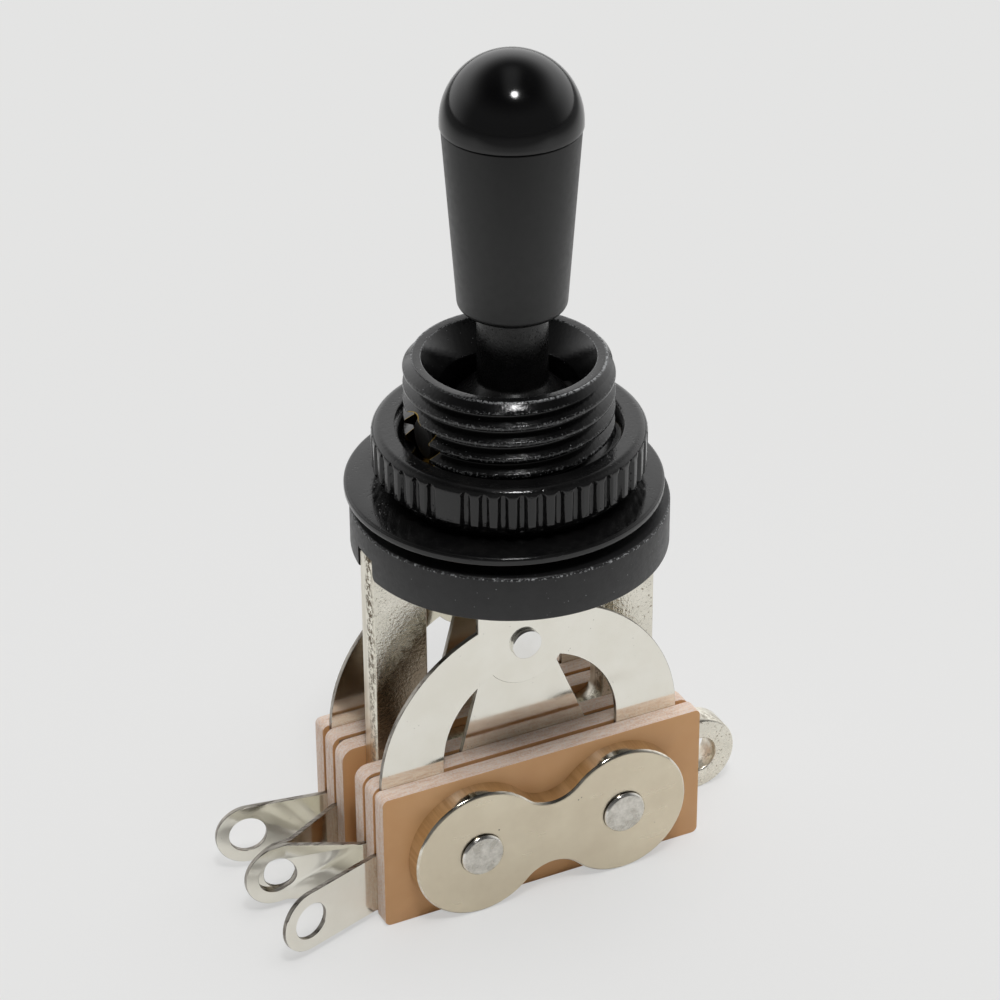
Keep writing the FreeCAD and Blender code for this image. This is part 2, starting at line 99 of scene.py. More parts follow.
def turnedMesh(outline, steps, closed=True, axis="Z", centre=(0, 0, 0), sectors=8):
    # spins an outline of (radius, height) in mm over one sector, then lays copies of it round the axis
    bm = bmesh.new()
    verts = [bm.verts.new((point[0] * mm, 0, point[1] * mm)) for point in outline]
    edges = [bm.edges.new(pair) for pair in zip(verts, verts[1:])]
    if closed:
        edges.append(bm.edges.new((verts[-1], verts[0])))
    bmesh.ops.spin(bm, geom=verts + edges, cent=(0, 0, 0), axis=(0, 0, 1), dvec=(0, 0, 0),
                   angle=2 * math.pi / sectors, steps=steps // sectors, use_merge=False,
                   use_normal_flip=False, use_duplicate=False)
    sector = everything(bm)
    for count in range(1, sectors):
        made = bmesh.ops.duplicate(bm, geom=sector)["geom"]
        bmesh.ops.rotate(bm, verts=onlyVerts(made), cent=(0, 0, 0),
                         matrix=Matrix.Rotation(2 * math.pi * count / sectors, 3, "Z"))
    bmesh.ops.remove_doubles(bm, verts=bm.verts, dist=mergeDistance / 4)
    bmesh.ops.dissolve_degenerate(bm, edges=bm.edges, dist=mergeDistance / 10)
    tiltAbout = {"X": "Y", "Y": "X"}
    if axis in tiltAbout:
        bmesh.ops.rotate(bm, verts=bm.verts, cent=(0, 0, 0),
                         matrix=Matrix.Rotation(math.pi / 2, 3, tiltAbout[axis]))
    bmesh.ops.translate(bm, verts=bm.verts, vec=Vector(centre))
    bmesh.ops.recalc_face_normals(bm, faces=bm.faces)
    return bm


def solidCopy(node, edgeWidth, segments=2, steepest=40, bendCuts=()):
    # a CAD node's mesh merged to clean faces, with its edges broken by a small rounding
    bm = bmesh.new()
    bm.from_mesh(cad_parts[node].data)
    bmesh.ops.remove_doubles(bm, verts=bm.verts, dist=mergeDistance)
    bmesh.ops.dissolve_degenerate(bm, edges=bm.edges, dist=mergeDistance)
    bmesh.ops.dissolve_limit(bm, angle_limit=math.radians(1), verts=bm.verts, edges=bm.edges)
    bmesh.ops.recalc_face_normals(bm, faces=bm.faces)
    sharp = [edge for edge in bm.edges
             if edge.is_manifold and edge.calc_face_angle() > math.radians(steepest)]
    if edgeWidth > 0:
        bmesh.ops.bevel(bm, geom=sharp, offset=edgeWidth * mm, offset_type="OFFSET", affect="EDGES",
                        segments=segments, profile=0.5, material=-1, clamp_overlap=True)
    for height in bendCuts:
        bmesh.ops.bisect_plane(bm, geom=everything(bm), dist=mergeDistance / 20,
                               plane_co=(0, 0, height), plane_no=(0, 0, 1))
    return bm


def paintFaces(piece, mainMaterial, edgeMaterial, wideAxis):
    # the wide faces take the first material, all that faces another way takes the second
    piece.data.materials.append(mainMaterial)
    piece.data.materials.append(edgeMaterial)
    for face in piece.data.polygons:
        face.material_index = 0 if abs(face.normal[wideAxis]) > 0.8 else 1


def place(piece, body, slot, *nodes):
    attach(piece, body)
    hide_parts(*nodes)
    return piece


# Helpers for materials

def addNode(tree, kind, inputs=None, **options):
    # a shader node whose inputs, by name or number, take a value or another node's output
    made = tree.nodes.new("ShaderNode" + kind)
    for option, value in options.items():
        setattr(made, option, value)
    for socket, value in (inputs or {}).items():
        if isinstance(value, bpy.types.NodeSocket):
            tree.links.new(value, made.inputs[socket])
        else:
            made.inputs[socket].default_value = value
    return made


class Finish:
    # one material on Object coordinates, built up from noise, masks and bumps
    def __init__(self, name, **values):
        self.material = bpy.data.materials.new(name)
        self.material.use_nodes = True
        self.tree = self.material.node_tree
        self.shader = self.tree.nodes["Principled BSDF"]
        self.coordinates = self.tree.nodes.new("ShaderNodeTexCoord").outputs["Object"]
        self.bump = None
        for socket, value in values.items():
            self.shader.inputs[socket.replace("_", " ")].default_value = value

    def node(self, kind, inputs=None, **options):
        return addNode(self.tree, kind, inputs, **options)

    def stretched(self, scale):
        return self.node("Mapping", {"Vector": self.coordinates, "Scale": scale}).outputs[0]

    def noise(self, scale, detail=3.0, roughness=0.55, stretch=(1, 1, 1)):
        inputs = {"Vector": self.stretched(stretch), "Scale": scale, "Detail": detail, "Roughness": roughness}
        return self.node("TexNoise", inputs).outputs["Fac"]

    def cells(self, scale):
        inputs = {"Vector": self.stretched((1, 1, 1)), "Scale": scale}
        return self.node("TexVoronoi", inputs).outputs["Distance"]

    def ramp(self, source, low, high, start=0.0, end=1.0):
        inputs = {"Value": source, "From Min": low, "From Max": high, "To Min": start, "To Max": end}
        return self.node("MapRange", inputs).outputs[0]

    def math(self, operation, first, second=0.0):
        return self.node("Math", {0: first, 1: second}, operation=operation).outputs[0]

    def band(self, source, middle, inside, outside, height=1.0):
        # full height at the middle value, fading out between two distances from it
        away = self.math("ABSOLUTE", self.math("SUBTRACT", source, middle))
        return self.ramp(away, inside, outside, height, 0.0)

    def spots(self, scale, core, rim, rareScale, rareLow, rareHigh):
        # small dots that show only in some places
        dots = self.ramp(self.cells(scale), core, rim, 1.0, 0.0)
        return self.math("MULTIPLY", dots, self.ramp(self.noise(rareScale, 2), rareLow, rareHigh))

    def choose(self, factor, first, second):
        return self.node("Mix", {"Factor": factor, 2: first, 3: second}, data_type="FLOAT").outputs[0]

    def mix(self, factor, first, second):
        # sockets 6 and 7 are the node's colour inputs, and output 2 is its colour
        colours = [value if isinstance(value, bpy.types.NodeSocket) else (*value, 1)
                   for value in (first, second)]
        made = self.node("Mix", {"Factor": factor, 6: colours[0], 7: colours[1]}, data_type="RGBA")
        return made.outputs[2]

    def tones(self, source, low, high, dark, pale):
        return self.mix(self.ramp(source, low, high), dark, pale)

    def axis(self, letter):
        return self.node("SeparateXYZ", {0: self.coordinates}).outputs[letter]

    def set(self, socket, source):
        self.tree.links.new(source, self.shader.inputs[socket])

    def addBump(self, height, strength, distance):
        inputs = {"Height": height, "Strength": strength, "Distance": distance * mm}
        if self.bump:
            inputs["Normal"] = self.bump
        self.bump = self.node("Bump", inputs).outputs[0]
        self.set("Normal", self.bump)


print("stage: finishes")


def blackPlating(name, roughness, wear, orangePeel):
    # thin black plating with an uneven skin, shallow craters and rare worn specks
    made = Finish(name, Specular_IOR_Level=0.5)
    base = made.tones(made.noise(900, 3), 0.35, 0.7, (0.004, 0.004, 0.0042), (0.0075, 0.0073, 0.0073))
    speck = made.math("MULTIPLY", made.spots(5200, 0.05, 0.11, 2300, 0.62, 0.68), wear)
    made.set("Base Color", made.mix(speck, base, (0.28, 0.29, 0.3)))
    made.set("Roughness", made.ramp(made.noise(3000, 3), 0.3, 0.75, roughness - 0.05, roughness + 0.09))
    made.addBump(made.noise(1600, 3), orangePeel, 0.02)
    made.addBump(made.noise(4800, 3, 0.65), 2.2 * orangePeel, 0.02)
    craters = made.math("SUBTRACT", made.ramp(made.cells(4800), 0.1, 0.3), 1.0)
    made.addBump(made.math("MULTIPLY", craters, made.ramp(made.noise(700, 3), 0.45, 0.6)), 0.5, 0.02)
    made.addBump(speck, 0.2, 0.01)
    return made.material


def capFinish(seam):
    # one moulding: satin tapered sides and a polished dome
    made = Finish("capBlack", Specular_IOR_Level=0.5)
    dome = made.ramp(made.axis("Z"), (seam - 0.02) * mm, (seam + 0.02) * mm)
    made.set("Base Color", made.mix(dome, (0.0042, 0.0045, 0.0045), (0.003, 0.003, 0.0032)))
    satin = made.ramp(made.noise(2600, 3), 0.3, 0.7, 0.36, 0.44)
    polished = made.ramp(made.noise(500, 2), 0.3, 0.7, 0.1, 0.15)
    made.set("Roughness", made.choose(dome, satin, polished))
    made.addBump(made.noise(6000, 2), 0.05, 0.01)
    return made.material


def springSheet():
    # rolled, tinned spring sheet with faint clouds and a few dull spots
    made = Finish("springSheetTin", Metallic=1.0, Anisotropic=0.2)
    base = made.tones(made.noise(420, 3, 0.6), 0.35, 0.7, (0.85, 0.825, 0.74), (0.895, 0.875, 0.8))
    spots = made.spots(3200, 0.06, 0.12, 1300, 0.56, 0.62)
    made.set("Base Color", made.mix(spots, base, (0.42, 0.4, 0.36)))
    made.set("Roughness", made.ramp(made.noise(700, 3, 0.65), 0.3, 0.75, 0.08, 0.17))
    made.addBump(made.noise(260, 3), 0.2, 0.03)
    made.addBump(made.noise(2600, 3), 0.1, 0.01)
    return made.material


def sheetEdge():
    made = Finish("shearedEdge", Metallic=1.0)
    streaks = made.noise(900, 3, 0.65, stretch=(1, 4, 1))
    made.set("Base Color", made.tones(streaks, 0.35, 0.65, (0.16, 0.14, 0.12), (0.5, 0.47, 0.42)))
    made.set("Roughness", made.ramp(streaks, 0.3, 0.7, 0.2, 0.4))
    made.addBump(streaks, 0.5, 0.03)
    return made.material


def framePlate(left):
    # tinned wide faces with a fine grain, small pits and a painted reflection low on the left leg: a brown
    # shape that stands in for the mirrored back of the front leaf and the laminate
    made = Finish("framePlateTin", Metallic=1.0)
    x, z = made.axis("X"), made.axis("Z")
    base = made.tones(made.noise(500, 3, 0.65), 0.3, 0.7, (0.72, 0.69, 0.6), (0.85, 0.82, 0.73))
    uneven = made.math("MULTIPLY", made.math("SUBTRACT", made.noise(2400, 3, 0.75), 0.5), 2.5 * mm)
    inward = made.math("SUBTRACT", x, left)
    slanted = made.math("MULTIPLY", made.math("SUBTRACT", -5 * mm, z), 0.85)
    edge = made.math("ADD", made.math("ADD", inward, slanted), uneven)
    onLeg = made.math("LESS_THAN", inward, 4.6 * mm)
    # painted reflection: brown, with a slanted and uneven edge on the left leg, in place of the leaf and
    # laminate that the leg mirrors
    paintedLegReflection = made.math("MULTIPLY", made.ramp(edge, 3.9 * mm, 5.0 * mm, 0.0, 0.9), onLeg)
    base = made.mix(paintedLegReflection, base, (0.17, 0.125, 0.08))
    made.set("Base Color", made.mix(made.ramp(made.noise(5000, 3, 0.7), 0.6, 0.66), base, (0.34, 0.3, 0.23)))
    onLug = made.ramp(x, 9 * mm, 11.5 * mm, 0.0, 0.1)
    rough = made.ramp(made.noise(4000, 3, 0.7), 0.3, 0.75, 0.1, 0.26)
    made.set("Roughness", made.math("ADD", rough, onLug))
    made.addBump(made.noise(4800, 3, 0.65), 1.0, 0.04)
    made.addBump(made.noise(330, 3), 0.2, 0.05)
    return made.material


def frameSide(depth):
    # sheared side: a burnished band, then a torn band with deep pits, worst near the flange
    made = Finish("frameSideSheared", Metallic=1.0)
    y, z = made.axis("Y"), made.axis("Z")
    wander = made.math("MULTIPLY", made.math("SUBTRACT", made.noise(700, 3), 0.5), 0.9 * mm)
    fromBand = made.math("ABSOLUTE", made.math("ADD", made.math("ADD", y, wander), 0.2 * depth))
    torn = made.ramp(fromBand, 0.13 * depth, 0.34 * depth, 1.0, 0.0)
    torn = made.math("MULTIPLY", torn, made.ramp(z, -17 * mm, -7 * mm, 0.4, 1.0))
    rough = made.noise(3800, 3, 0.75)
    holes = made.math("MULTIPLY", torn, made.ramp(rough, 0.48, 0.53))
    streaks = made.noise(2600, 3, 0.6, stretch=(1, 1, 0.04))
    base = made.tones(streaks, 0.3, 0.7, (0.64, 0.6, 0.5), (0.94, 0.91, 0.81))
    made.set("Base Color", made.mix(holes, base, (0.19, 0.15, 0.1)))
    made.set("Roughness", made.ramp(holes, 0.0, 1.0, 0.3, 0.65))
    made.addBump(streaks, 0.6, 0.03)
    made.addBump(made.math("MULTIPLY", torn, rough), 0.9, 0.04)
    return made.material


def clampNickel():
    made = Finish("clampNickel", Metallic=1.0)
    brushed = made.noise(1500, 3, 0.6, stretch=(0.15, 1, 1))
    clouds = made.noise(420, 3, 0.6)
    base = made.tones(clouds, 0.3, 0.7, (0.69, 0.61, 0.47), (0.755, 0.68, 0.53))
    spots = made.spots(1500, 0.05, 0.1, 700, 0.6, 0.64)
    made.set("Base Color", made.mix(spots, base, (0.2, 0.18, 0.15)))
    made.set("Roughness", made.ramp(brushed, 0.3, 0.7, 0.26, 0.38))
    made.addBump(brushed, 0.25, 0.012)
    made.addBump(clouds, 0.12, 0.03)
    return made.material


def clampWall():
    # punched wall with fine score lines across the sheet, and its polished chamfer
    made = Finish("clampWall", Metallic=1.0)
    scores = made.noise(2600, 3, 0.7, stretch=(1, 0.05, 1))
    made.set("Base Color", made.tones(scores, 0.4, 0.66, (0.7, 0.64, 0.52), (0.86, 0.83, 0.74)))
    made.set("Roughness", made.ramp(scores, 0.3, 0.7, 0.1, 0.17))
    made.addBump(scores, 0.4, 0.01)
    return made.material


def rivetNickel(reach):
    # pressed, mottled end faces, a polished rim and painted shade: a dark ring where the head sits on the
    # plate
    made = Finish("rivetNickel", Metallic=1.0)
    pressed = made.noise(1700, 3, 0.65)
    outward = made.math("ABSOLUTE", made.axis("Y"))
    onFace = made.ramp(outward, (reach - 0.09) * mm, (reach - 0.04) * mm)
    mottled = made.tones(pressed, 0.35, 0.65, (0.52, 0.5, 0.45), (0.78, 0.755, 0.7))
    # painted shade: the polished colour turns dark near the seat, standing in for the shade where the head
    # meets the plate
    paintedSeatShade = made.ramp(outward, (reach - 0.22) * mm, (reach - 0.17) * mm, 1.0, 0.0)
    polished = made.mix(paintedSeatShade, (0.85, 0.83, 0.78), (0.08, 0.07, 0.06))
    made.set("Base Color", made.mix(onFace, polished, mottled))
    grain = made.ramp(pressed, 0.3, 0.7, 0.0, 0.2)
    made.set("Roughness", made.math("ADD", made.ramp(onFace, 0.0, 1.0, 0.1, 0.22), grain))
    made.addBump(made.math("MULTIPLY", pressed, onFace), 0.7, 0.05)
    return made.material


def laminateFace():
    made = Finish("laminateFace", Specular_IOR_Level=0.4)
    sheets = made.noise(220, 3, 0.6)
    made.set("Base Color", made.tones(sheets, 0.3, 0.7, (0.64, 0.345, 0.152), (0.7, 0.4, 0.188)))
    made.set("Roughness", made.ramp(made.noise(1800, 3), 0.3, 0.7, 0.36, 0.5))
    made.addBump(made.noise(700, 3), 0.08, 0.03)
    return made.material


def laminateEdge():
    # cut edge: pinkish fibres in layers along the plate
    made = Finish("laminateEdge", Specular_IOR_Level=0.25)
    fibres = made.noise(2600, 3, 0.75, stretch=(0.35, 2.2, 0.35))
    flecks = made.noise(8000, 3, 0.7)
    base = made.tones(fibres, 0.32, 0.68, (0.74, 0.5, 0.36), (0.97, 0.8, 0.67))
    made.set("Base Color", made.mix(made.ramp(flecks, 0.46, 0.62, 0.0, 0.75), base, (0.9, 0.8, 0.75)))
    made.set("Roughness", made.ramp(fibres, 0.3, 0.7, 0.6, 0.85))
    made.addBump(fibres, 0.6, 0.05)
    made.addBump(flecks, 0.4, 0.02)
    return made.material


def silver():
    made = Finish("contactSilver", Metallic=1.0)
    clouds = made.noise(900, 3)
    made.set("Base Color", made.tones(clouds, 0.3, 0.7, (0.84, 0.83, 0.8), (0.9, 0.895, 0.875)))
    made.set("Roughness", made.ramp(made.noise(2100, 3), 0.3, 0.7, 0.12, 0.2))
    made.addBump(clouds, 0.1, 0.02)
    return made.material


def plainFinish(name, dark, pale, roughness, metallic=0.0):
    made = Finish(name, Metallic=metallic)
    clouds = made.noise(800, 3)
    made.set("Base Color", made.tones(clouds, 0.3, 0.7, dark, pale))
    made.set("Roughness", made.ramp(made.noise(2400, 3), 0.3, 0.7, roughness - 0.05, roughness + 0.08))
    made.addBump(clouds, 0.15, 0.02)
    return made.material


tinLeaf = springSheet()
tinEdge = sheetEdge()

print("stage: turned pieces")

capValues = {"seam": 22.93, "lowRadius": 3.06, "highRadius": 3.84, "corner": 0.45, "seamDepth": 0.12,
             "seamWidth": 0.12, "domeRadius": 3.92, "band": 0.25, "boreRadius": 1.6, "boreTop": 19.6,
             "domeSteps": 32, "steps": 128, "sharpAngle": 40}


def makeCap():
    v = capValues
    low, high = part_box("tip_cap")
    bottom = low.z / mm
    dome = v["seam"] + v["band"]
    corners = [(v["boreRadius"], v["boreTop"], 0, 0), (v["boreRadius"], bottom, 0, 0),
               (v["lowRadius"], bottom, v["corner"], 6),
               (v["highRadius"], v["seam"] - v["seamWidth"], 0.04, 3),
               (v["highRadius"] - v["seamDepth"], v["seam"] - v["seamWidth"] / 2, 0.02, 2),
               (v["domeRadius"], v["seam"], 0.03, 2), (v["domeRadius"], dome, 0, 0)]
    outline = roundedOutline(corners, closed=False)
    for step in range(1, v["domeSteps"] + 1):
        angle = step / v["domeSteps"] * math.pi / 2
        outline.append(Vector((math.cos(angle), math.sin(angle))) * v["domeRadius"] + Vector((0, dome)))
    outline[-1].x = 0
    outline.insert(0, Vector((0, v["boreTop"])))
    centre = ((low.x + high.x) / 2, 0, 0)
    solid = turnedMesh(outline, v["steps"], closed=False, centre=centre)
    piece = finishMesh(solid, "tipCap", v["sharpAngle"])
    piece.data.materials.append(capFinish(v["seam"]))
    return place(piece, "lever", "cap_plastic", "tip_cap")


makeCap()
print("made:", "cap")

leverValues = {"radius": 2.0, "collar": 1.6, "shoulder": 0.4, "boss": 3.4, "bossHeight": 2.4, "taper": 1.4,
               "tail": 1.75, "pivot": 5.0, "steps": 96}


def makeLever():
    v = leverValues
    low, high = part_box("lever")
    bottom, top = low.z / mm, high.z / mm
    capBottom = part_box("tip_cap")[0].z / mm
    bossBottom = v["pivot"] - v["bossHeight"] / 2
    bossTop = v["pivot"] + v["bossHeight"] / 2
    corners = [(0, bottom, 0, 0), (v["tail"], bottom, 0.1, 2), (v["tail"], bossBottom - v["taper"], 0.2, 3),
               (v["boss"], bossBottom, 0.2, 3), (v["boss"], bossTop, 0.3, 4),
               (v["radius"], bossTop + v["taper"], 0.3, 4),
               (v["radius"], capBottom - v["shoulder"], 0.12, 3), (v["collar"], capBottom, 0, 0),
               (v["collar"], top, 0.1, 2), (0, top, 0, 0)]
    outline = roundedOutline(corners, closed=False)
    centre = ((low.x + high.x) / 2, 0, 0)
    piece = finishMesh(turnedMesh(outline, v["steps"], closed=False, centre=centre), "leverStem")
    piece.data.materials.append(blackPlating("leverBlack", 0.26, 0.35, 0.15))
    return place(piece, "lever", "lever_metal", "lever")


makeLever()
print("made:", "lever")

toeValues = {"radius": 3.0, "rounding": 1.25, "floor": 1.1, "steps": 72}


def makeToe():
    v = toeValues
    low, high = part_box("lever_toe")
    bottom, top = low.z / mm, high.z / mm
    tail = leverValues["tail"]
    corners = [(0, bottom, 0, 0), (v["radius"], bottom, v["rounding"], 8),
               (v["radius"], top, v["rounding"], 8), (tail, top, 0, 0),
               (tail, bottom + v["floor"], 0, 0), (0, bottom + v["floor"], 0, 0)]
    outline = roundedOutline(corners, closed=False)
    centre = ((low.x + high.x) / 2, 0, 0)
    piece = finishMesh(turnedMesh(outline, v["steps"], closed=False, centre=centre), "leverToe")
    piece.data.materials.append(plainFinish("toeNylon", (0.62, 0.58, 0.5), (0.72, 0.69, 0.62), 0.45))
    return place(piece, "lever", "toe_plastic", "lever_toe")


makeToe()
print("made:", "toe")

# the clearance keeps the underside off the flange at the end of the nut's travel
washerValues = {"radius": 9.1, "hole": 6.35, "edge": 0.18, "clearance": 0.01, "steps": 160}


def makeWasher():
    v = washerValues
    low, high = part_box("washer")
    bottom, top = low.z / mm + v["clearance"], high.z / mm
    centre = ((low.x + high.x) / 2, (low.y + high.y) / 2, 0)
    corners = [(v["hole"], bottom, 0.05, 2), (v["radius"], bottom, 0.1, 3),
               (v["radius"], top, v["edge"], 5), (v["hole"], top, 0.08, 3)]
    piece = finishMesh(turnedMesh(roundedOutline(corners), v["steps"], centre=centre), "panelWasher")
    piece.data.materials.append(blackPlating("washerBlack", 0.13, 0.4, 0.08))
    return place(piece, "washer", "black_metal", "washer")


makeWasher()
print("made:", "washer")

nutValues = {"radius": 7.8, "bore": 6.0, "seat": 6.95, "foot": 1.06, "crownRounding": 0.5,
             "mouth": 0.5, "teeth": 46, "depth": 0.34, "grooveMouth": 0.64, "grooveFloor": 0.25,
             "wideTooth": 217.4, "softness": 0.08, "stepsPerTooth": 18, "archHeight": 0.38, "archEnd": 0.32,
             "faceHeight": 0.06, "mostFaces": 4, "narrowest": 0.02, "sharpAngle": 50}


def grooveRadius(v, angle, below):
    # distance from the axis of the toothed wall at an angle and a distance below the nut's top face
    pitch = 2 * math.pi / v["teeth"]
    turn = (angle - math.radians(v["wideTooth"])) / pitch
    nearest = round(turn)
    if nearest % v["teeth"] == 0:
        return v["radius"]
    across = abs(turn - nearest) * pitch * v["radius"]
    rise = min(max((v["archEnd"] + v["archHeight"] - below) / v["archHeight"], 0.0), 1.0)
    narrow = math.sqrt(1 - rise * rise)
    if narrow < v["narrowest"]:
        return v["radius"]
    across /= narrow
    flank = (across - v["grooveFloor"] / 2) / (v["grooveMouth"] / 2 - v["grooveFloor"] / 2)
    share = min(max(flank, 0.0), 1.0)
    share = share * share * (3 - 2 * share)
    return v["radius"] - v["depth"] * (1 - share)


def makeNut():
    v = nutValues
    low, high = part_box("ring_nut")
    bottom, top = low.z / mm, high.z / mm
    arch = top - v["archEnd"] - v["archHeight"]
    corners = [(v["bore"], bottom, 0, 0), (v["seat"], bottom, 0.1, 3),
               (v["radius"], bottom + v["foot"], 0.25, 4), (v["radius"], arch, 0, 0),
               (v["radius"], top, v["crownRounding"], 10),
               (v["bore"] + v["mouth"], top, 0.08, 3), (v["bore"], top - v["mouth"], 0, 0)]
    outline = roundedOutline(corners)
    dense = []
    for first, second in zip(outline, outline[1:] + outline[:1]):
        # the toothed wall needs short faces, and shorter ones where the grooves end in arches
        onWall = max(first.x, second.x) > v["seat"] + 0.05
        parts = max(1, round((second - first).length / v["faceHeight"])) if onWall else 1
        if max(first.y, second.y) < arch + 0.01:
            parts = min(parts, v["mostFaces"])
        dense += [first.lerp(second, part / parts) for part in range(parts)]
    bm = turnedMesh(dense, v["teeth"] * v["stepsPerTooth"], sectors=v["teeth"])
    soft = v["softness"]
    for vert in bm.verts:
        radius = math.hypot(vert.co.x, vert.co.y) / mm
        limit = grooveRadius(v, math.atan2(vert.co.y, vert.co.x) % (2 * math.pi), top - vert.co.z / mm)
        if limit >= v["radius"] or radius < limit - 2 * soft:
            continue
        near = max(soft - abs(radius - limit), 0.0) / soft
        shaped = min(radius, limit) - near * near * soft / 4
        vert.co.x *= shaped / radius
        vert.co.y *= shaped / radius
    piece = finishMesh(bm, "ringNut", v["sharpAngle"])
    piece.data.materials.append(blackPlating("nutBlack", 0.11, 0.5, 0.18))
    return place(piece, "nut", "black_metal", "ring_nut")


makeNut()
print("made:", "nut")

bushingValues = {"crest": 5.95, "root": 5.38, "pitch": 1.0, "crestShare": 0.22, "rootShare": 0.16,
                 "flank": 0.09, "crestHeight": 0.60, "facing": -116.3, "below": 4, "turns": 14, "steps": 120,
                 "rim": 5.47, "mouth": 4.93, "funnel": 1.8, "bore": 3.93, "core": 5.36, "inset": 0.1,
                 "foot": 0.06, "lid": 0.01, "edge": 0.16, "bodySteps": 160, "sharpAngle": 38,
                 "hole": 1.25, "spot": 1.65, "spotStart": 4.95, "holeEnd": 7.735, "holeSteps": 48,
                 "pivot": 5.0, "slotHalf": 0.93, "slotTop": -1.45, "slotLip": 0.5, "lipSteps": 6,
                 "slotInner": 5.7}

# where the bushing's finish changes, in mm
wearValues = {"barrelStart": 0.3, "crestDepth": 0.11, "edgeStart": 8.9, "edgeEnd": 8.98, "edgeHeight": -0.1,
              "holeStart": 4.2, "holeMargin": 0.03}


def bushingFinish(v, top):
    # satin flange, glossy barrel, whitish worn rims and bare brass in the cross hole
    w = wearValues
    made = Finish("bushingBlack", Specular_IOR_Level=0.5)
    x, y, z = made.axis("X"), made.axis("Y"), made.axis("Z")

    def length(first, second):
        squares = [made.math("MULTIPLY", side, side) for side in (first, second)]
        return made.math("SQRT", made.math("ADD", *squares))

    radius = length(x, y)
    onFlange = made.math("LESS_THAN", z, w["barrelStart"] * mm)
    patches = made.noise(800, 3)
    glossy = made.tones(patches, 0.35, 0.7, (0.004, 0.004, 0.0042), (0.007, 0.007, 0.0072))
    satin = made.tones(patches, 0.3, 0.7, (0.009, 0.009, 0.0095), (0.013, 0.013, 0.0135))
    base = made.mix(onFlange, glossy, satin)
    grit = made.noise(6500, 3, 0.7)
    fine, dense = made.ramp(grit, 0.53, 0.62), made.ramp(grit, 0.44, 0.54)
    outerRim = made.band(radius, v["rim"] * mm, 0.0, 0.12 * mm)
    mouthRim = made.band(radius, v["mouth"] * mm, 0.0, 0.05 * mm, 0.5)
    onTop = made.band(z, top * mm, 0.0, 0.13 * mm)
    rims = made.math("MULTIPLY", onTop, made.math("MAXIMUM", outerRim, mouthRim))
    rimWear = made.math("MULTIPLY", rims, dense)
    crest = made.ramp(radius, (v["crest"] - w["crestDepth"]) * mm, v["crest"] * mm, 0.0, 0.32)
    barrelWear = made.math("MAXIMUM", rimWear, made.math("MULTIPLY", crest, fine))
    barrelWear = made.math("MULTIPLY", barrelWear, made.math("SUBTRACT", 1.0, onFlange))
    topEdge = made.band(z, w["edgeHeight"] * mm, 0.01 * mm, 0.1 * mm)
    outside = made.ramp(radius, w["edgeStart"] * mm, w["edgeEnd"] * mm)
    flangeEdge = made.math("MULTIPLY", topEdge, outside)
    flangeWear = made.math("MULTIPLY", flangeEdge, fine)
    scattered = made.math("MULTIPLY", made.spots(3600, 0.06, 0.13, 1500, 0.56, 0.62), 0.6)
    wear = made.math("MAXIMUM", made.math("MAXIMUM", barrelWear, flangeWear), scattered)
    base = made.mix(made.ramp(wear, 0.0, 1.0, 0.0, 0.85), base, (0.5, 0.51, 0.52))
    fromPin = length(y, made.math("SUBTRACT", z, v["pivot"] * mm))
    nearPin = made.math("LESS_THAN", fromPin, (v["spot"] + w["holeMargin"]) * mm)
    inHole = made.math("MULTIPLY", nearPin, made.math("GREATER_THAN", radius, w["holeStart"] * mm))
    brass = made.tones(made.noise(1500, 3), 0.35, 0.7, (0.17, 0.115, 0.03), (0.3, 0.21, 0.06))
    made.set("Base Color", made.mix(inHole, base, brass))
    made.set("Metallic", inHole)
    grain = made.noise(2600, 3)
    barrelRough = made.ramp(grain, 0.3, 0.75, 0.09, 0.19)
    flangeRough = made.ramp(grain, 0.3, 0.75, 0.38, 0.5)
    made.set("Roughness", made.choose(onFlange, barrelRough, flangeRough))
    made.addBump(made.noise(4800, 3, 0.65), 0.55, 0.02)
    made.addBump(wear, 0.5, 0.025)
    return made.material


def cutAway(bm, height, direction):
    # drops all that lies past a level plane
    bmesh.ops.bisect_plane(bm, geom=everything(bm), dist=mergeDistance / 200,
                           plane_co=(0, 0, height * mm), plane_no=(0, 0, direction), clear_outer=True)


def openLoop(bm, height):
    return [edge for edge in bm.edges if edge.is_boundary
            and all(abs(vert.co.z - height * mm) < mergeDistance / 20 for vert in edge.verts)]


def ringIn(bm, loop, radius, height):
    # one more ring of faces from an open loop, to a circle at a radius and a height in mm
    made = bmesh.ops.extrude_edge_only(bm, edges=loop)["geom"]
    verts = set(onlyVerts(made))
    for vert in verts:
        length = math.hypot(vert.co.x, vert.co.y)
        vert.co = Vector((vert.co.x / length * radius, vert.co.y / length * radius, height)) * mm
    return [item for item in made if isinstance(item, bmesh.types.BMEdge) and set(item.verts) <= verts]


